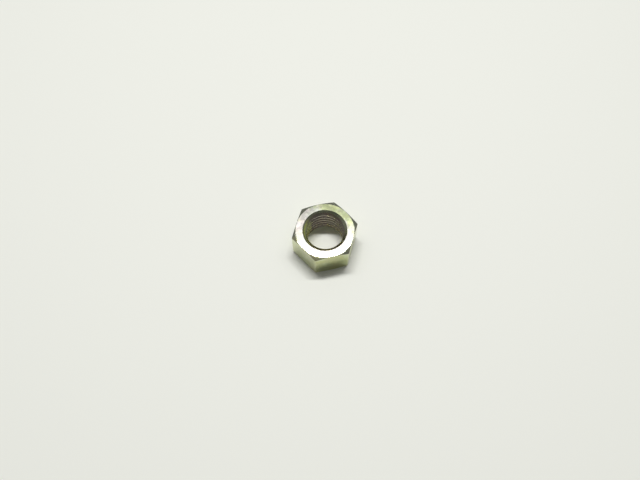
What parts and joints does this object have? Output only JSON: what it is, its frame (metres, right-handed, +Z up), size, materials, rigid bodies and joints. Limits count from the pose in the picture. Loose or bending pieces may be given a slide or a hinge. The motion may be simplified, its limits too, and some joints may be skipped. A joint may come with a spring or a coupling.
{
  "type": "hex nut",
  "caption": "Plain hexagonal nut with a right-hand metric thread cut right through, countersunk and corner-chamfered at both ends, yellow zinc plated.",
  "frame": {"origin": "centre of the lower bearing face, on the thread's axis", "axes": "+Z up along the thread's axis; two opposite corners of the hexagon on the X axis, two opposite flats square to Y"},
  "size_m": [0.0254, 0.022, 0.013],
  "materials": {
    "yellow_zinc_steel": "steel with yellow-green chromate passivated zinc plating, satin, turned bearing faces"
  },
  "bodies": {
    "root": {"nut_body": "yellow_zinc_steel"}
  },
  "joints": []
}
